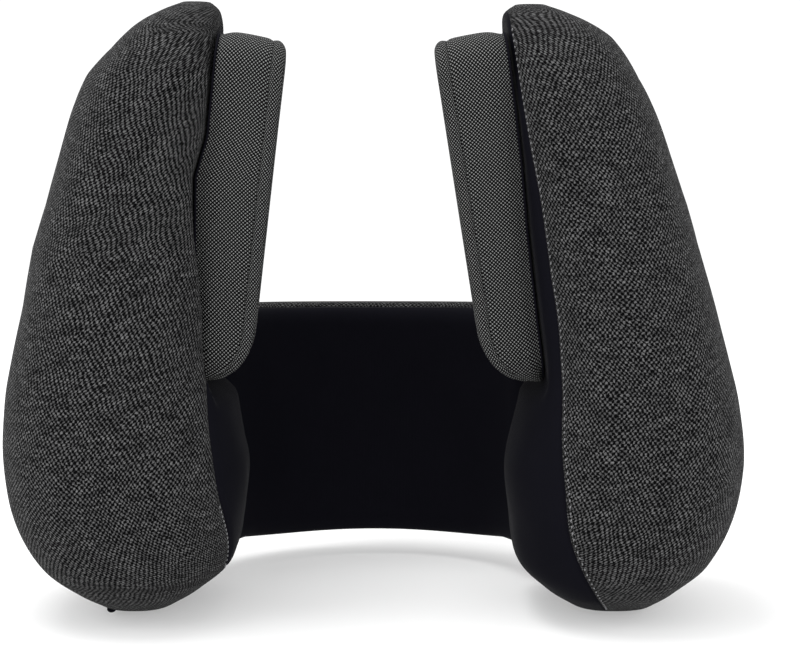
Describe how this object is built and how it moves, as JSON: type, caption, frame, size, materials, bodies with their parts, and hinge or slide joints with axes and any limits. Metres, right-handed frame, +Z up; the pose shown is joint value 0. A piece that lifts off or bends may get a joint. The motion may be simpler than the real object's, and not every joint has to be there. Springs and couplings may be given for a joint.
{
  "type": "chair headrest attachment",
  "caption": "U-shaped chair headrest attachment: two padded side wings hinged on a neck band, with sliding head pads and a rear strap.",
  "frame": {"origin": "centre of the neck band's arc, in the plane of the wings' feet", "axes": "+Z up, -Y out of the open front, +X towards the right wing as seen from the front"},
  "size_m": [0.2958, 0.193, 0.2445],
  "materials": {
    "heather_knit": "heather grey melange knit",
    "black_jersey": "brushed black jersey",
    "pad_weave": "dark grey basket weave",
    "piping": "stitched dark seam",
    "foam": "open-cell foam",
    "springy_plastic": "moulded",
    "hinge_steel": "zinc plated",
    "hook_and_loop": "hook and loop",
    "webbing": "woven webbing",
    "buckle_plastic": "fine-textured acetal",
    "zip_metal": "black lacquer"
  },
  "bodies": {
    "root": {"band_spine": "springy_plastic", "band_rivets": "hinge_steel", "band_foam": "foam", "band_jersey_cover": "black_jersey", "band_knit_cover": "heather_knit", "buckle_socket": "buckle_plastic", "zip_tape": "webbing", "zip_coil": "buckle_plastic", "zip_stops": "zip_metal", "band_hinge_leaf_left": "hinge_steel", "band_hinge_leaf_right": "hinge_steel", "hinge_pin_left": "hinge_steel", "hinge_pin_right": "hinge_steel", "strap_anchor_left": "webbing", "strap_anchor_right": "webbing", "strap_left": "webbing", "strap_right": "webbing"},
    "wing_left": {"wing_plate_left": "springy_plastic", "wing_hinge_leaf_left": "hinge_steel", "wing_rivets_left": "hinge_steel", "wing_foam_left": "foam", "wing_knit_cover_left": "heather_knit", "wing_jersey_cover_left": "black_jersey", "wing_loop_patch_left": "hook_and_loop"},
    "pad_left": {"pad_board_left": "springy_plastic", "pad_foam_left": "foam", "pad_face_left": "pad_weave", "pad_gusset_left": "pad_weave", "pad_back_left": "pad_weave", "pad_piping_left": "piping", "pad_hook_patch_left": "hook_and_loop"},
    "wing_right": {"wing_plate_right": "springy_plastic", "wing_hinge_leaf_right": "hinge_steel", "wing_rivets_right": "hinge_steel", "wing_foam_right": "foam", "wing_knit_cover_right": "heather_knit", "wing_jersey_cover_right": "black_jersey", "wing_loop_patch_right": "hook_and_loop"},
    "pad_right": {"pad_board_right": "springy_plastic", "pad_foam_right": "foam", "pad_face_right": "pad_weave", "pad_gusset_right": "pad_weave", "pad_back_right": "pad_weave", "pad_piping_right": "piping", "pad_hook_patch_right": "hook_and_loop"},
    "zip_slider": {"zip_slider": "zip_metal"},
    "zip_pull": {"zip_pull": "zip_metal"},
    "buckle_plug": {"buckle_plug": "buckle_plastic"},
    "strap_adjuster": {"strap_adjuster": "buckle_plastic"}
  },
  "joints": [
    {"name": "wing_swing_right", "type": "hinge", "parent": "root", "child": "wing_right", "pos_m": [0.07038, 0.02287, 0.065], "axis": [0, 0, 1], "range_deg": [-10, 30]},
    {"name": "wing_swing_left", "type": "hinge", "parent": "root", "child": "wing_left", "pos_m": [-0.07038, 0.02287, 0.065], "axis": [0, 0, -1], "range_deg": [-10, 30]},
    {"name": "pad_slide_right", "type": "slide", "parent": "wing_right", "child": "pad_right", "axis": [-0.1045, 0, 0.9945], "range_m": [0, 0.012]},
    {"name": "pad_slide_left", "type": "slide", "parent": "wing_left", "child": "pad_left", "axis": [0.1045, 0, 0.9945], "range_m": [0, 0.012]},
    {"name": "buckle_release", "type": "slide", "parent": "root", "child": "buckle_plug", "axis": [1, 0, 0], "range_m": [0, 0.022], "deforming": ["strap_right"]},
    {"name": "adjuster_slide", "type": "hinge", "parent": "root", "child": "strap_adjuster", "pos_m": [0, 0, 0.0625], "axis": [0, 0, 1], "range_deg": [-5, 5]},
    {"name": "zip_travel", "type": "hinge", "parent": "root", "child": "zip_slider", "pos_m": [0, 0, 0.033], "axis": [0, 0, 1], "range_deg": [0, 88]},
    {"name": "zip_pull_flip", "type": "hinge", "parent": "zip_slider", "child": "zip_pull", "pos_m": [0.06426, 0.06654, 0.033], "axis": [0.7193, -0.6947, 0], "range_deg": [0, 75]}
  ]
}
